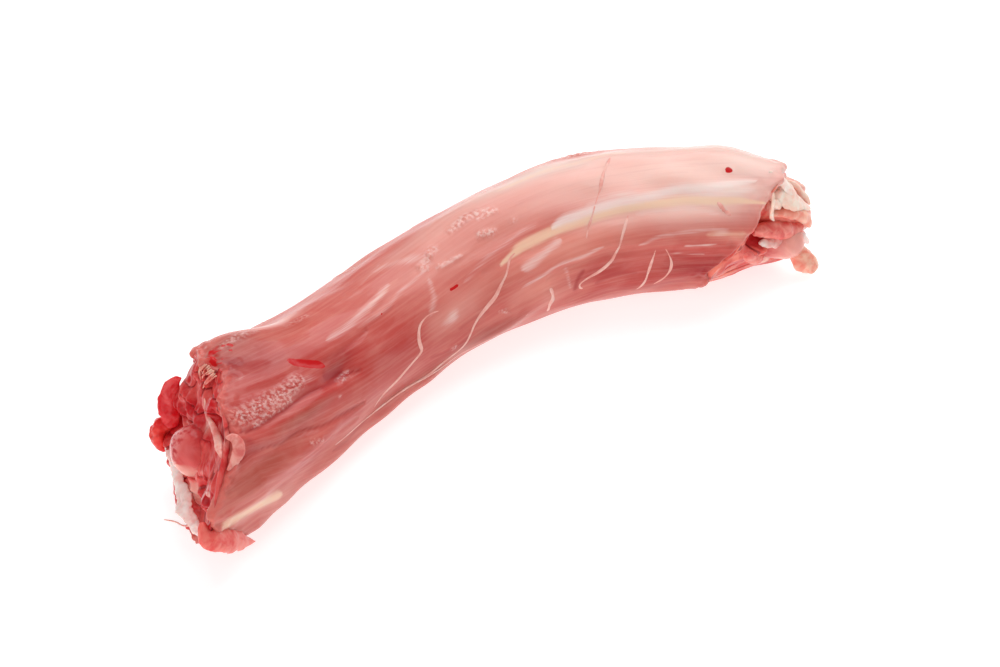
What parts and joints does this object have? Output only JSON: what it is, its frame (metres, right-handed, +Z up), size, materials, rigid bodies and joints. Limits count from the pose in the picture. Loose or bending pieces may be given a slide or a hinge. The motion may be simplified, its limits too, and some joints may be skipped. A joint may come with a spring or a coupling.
{
  "type": "raw chicken neck",
  "caption": "Raw skinned chicken neck lying on its side: a bent column of long muscles round the neck bones, cut through at both ends, with torn edges.",
  "frame": {"origin": "middle of the neck's bounding box in plan, on the surface that it lies on", "axes": "+X from the thick base end to the head end, +Y to the outside of the sideways bend, +Z up"},
  "size_m": [0.1523, 0.0576, 0.0307],
  "materials": {
    "raw_meat": "wet glossy raw poultry meat, pink with pale connective tissue",
    "raw_bone": "wet cartilage and bone end, pale pink"
  },
  "bodies": {
    "root": {"neck_meat": "raw_meat", "neck_spine": "raw_bone"}
  },
  "joints": []
}
